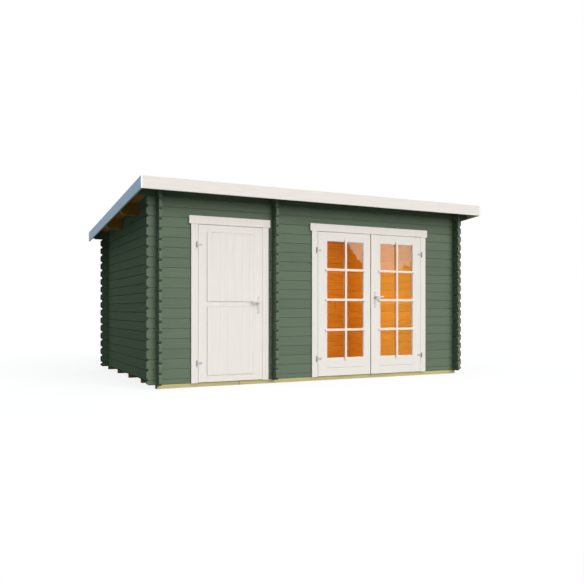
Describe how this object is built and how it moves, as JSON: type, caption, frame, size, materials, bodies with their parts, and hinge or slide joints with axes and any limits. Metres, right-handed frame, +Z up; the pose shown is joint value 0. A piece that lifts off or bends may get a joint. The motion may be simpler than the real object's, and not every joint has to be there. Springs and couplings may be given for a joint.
{
  "type": "garden log cabin",
  "caption": "Garden log cabin with a pent roof: a store behind a boarded single door and a room behind glazed double doors.",
  "frame": {"origin": "centre of the roof's outline in plan, on the ground under the bearers", "axes": "+X to the right along the front, +Y from the front to the back, +Z up"},
  "size_m": [4.682, 3.304, 2.3113],
  "materials": {
    "painted_logs": "satin green timber paint outside",
    "impregnated_pine": "pressure-treated, sawn",
    "bare_pine": "planed, untreated",
    "roof_timber": "brown stain",
    "roofing_felt": "mineral felt",
    "white_joinery": "off-white satin paint",
    "window_glass": "clear float glass",
    "hinge_steel": "zinc-plated",
    "lock_metal": "satin"
  },
  "bodies": {
    "cabin": {"front_wall_left": "painted_logs", "front_wall_middle": "painted_logs", "front_wall_right": "painted_logs", "front_wall_over_doors": "painted_logs", "front_top_log": "painted_logs", "back_wall": "painted_logs", "back_top_log": "painted_logs", "left_wall": "painted_logs", "partition_wall": "painted_logs", "right_wall": "painted_logs", "bearer_1": "impregnated_pine", "bearer_2": "impregnated_pine", "bearer_3": "impregnated_pine", "bearer_4": "impregnated_pine", "bearer_5": "impregnated_pine", "store_floor": "bare_pine", "room_floor": "bare_pine", "front_purlin": "roof_timber", "rear_purlin": "roof_timber", "roof_deck": "roof_timber", "roof_felt": "roofing_felt", "front_fascia": "white_joinery", "back_fascia": "white_joinery", "left_barge_board": "white_joinery", "right_barge_board": "white_joinery", "store_door_frame": "white_joinery", "store_door_casing": "white_joinery", "room_door_frame": "white_joinery", "room_door_casing": "white_joinery", "store_hinge_pins": "hinge_steel", "room_hinge_pins": "hinge_steel"},
    "store_door": {"store_door_leaf": "white_joinery", "store_door_panels": "white_joinery", "store_hinge_wings": "hinge_steel", "store_lock_plates": "lock_metal"},
    "store_lever": {"store_lever": "lock_metal"},
    "left_leaf": {"left_leaf": "white_joinery", "left_leaf_glass": "window_glass", "left_hinge_wings": "hinge_steel"},
    "right_leaf": {"right_leaf": "white_joinery", "right_leaf_glass": "window_glass", "cover_strip": "white_joinery", "right_hinge_wings": "hinge_steel", "room_lock_plates": "lock_metal"},
    "room_lever": {"room_lever": "lock_metal"}
  },
  "joints": [
    {"name": "store_door_hinge", "type": "hinge", "parent": "cabin", "child": "store_door", "pos_m": [-1.643, -1.422, 0], "axis": [0, 0, -1], "range_deg": [0, 110]},
    {"name": "left_leaf_hinge", "type": "hinge", "parent": "cabin", "child": "left_leaf", "pos_m": [-0.089, -1.422, 0], "axis": [0, 0, -1], "range_deg": [0, 110]},
    {"name": "right_leaf_hinge", "type": "hinge", "parent": "cabin", "child": "right_leaf", "pos_m": [1.518, -1.422, 0], "axis": [0, 0, 1], "range_deg": [0, 110]},
    {"name": "store_lever_turn", "type": "hinge", "parent": "store_door", "child": "store_lever", "pos_m": [-0.876, -1.422, 0.978], "axis": [0, -1, 0], "range_deg": [0, 40], "stiffness_Nm_per_rad": 2, "springref_deg": -20.05},
    {"name": "room_lever_turn", "type": "hinge", "parent": "right_leaf", "child": "room_lever", "pos_m": [0.775, -1.422, 1.052], "axis": [0, 1, 0], "range_deg": [0, 40], "stiffness_Nm_per_rad": 2, "springref_deg": -20.05}
  ]
}
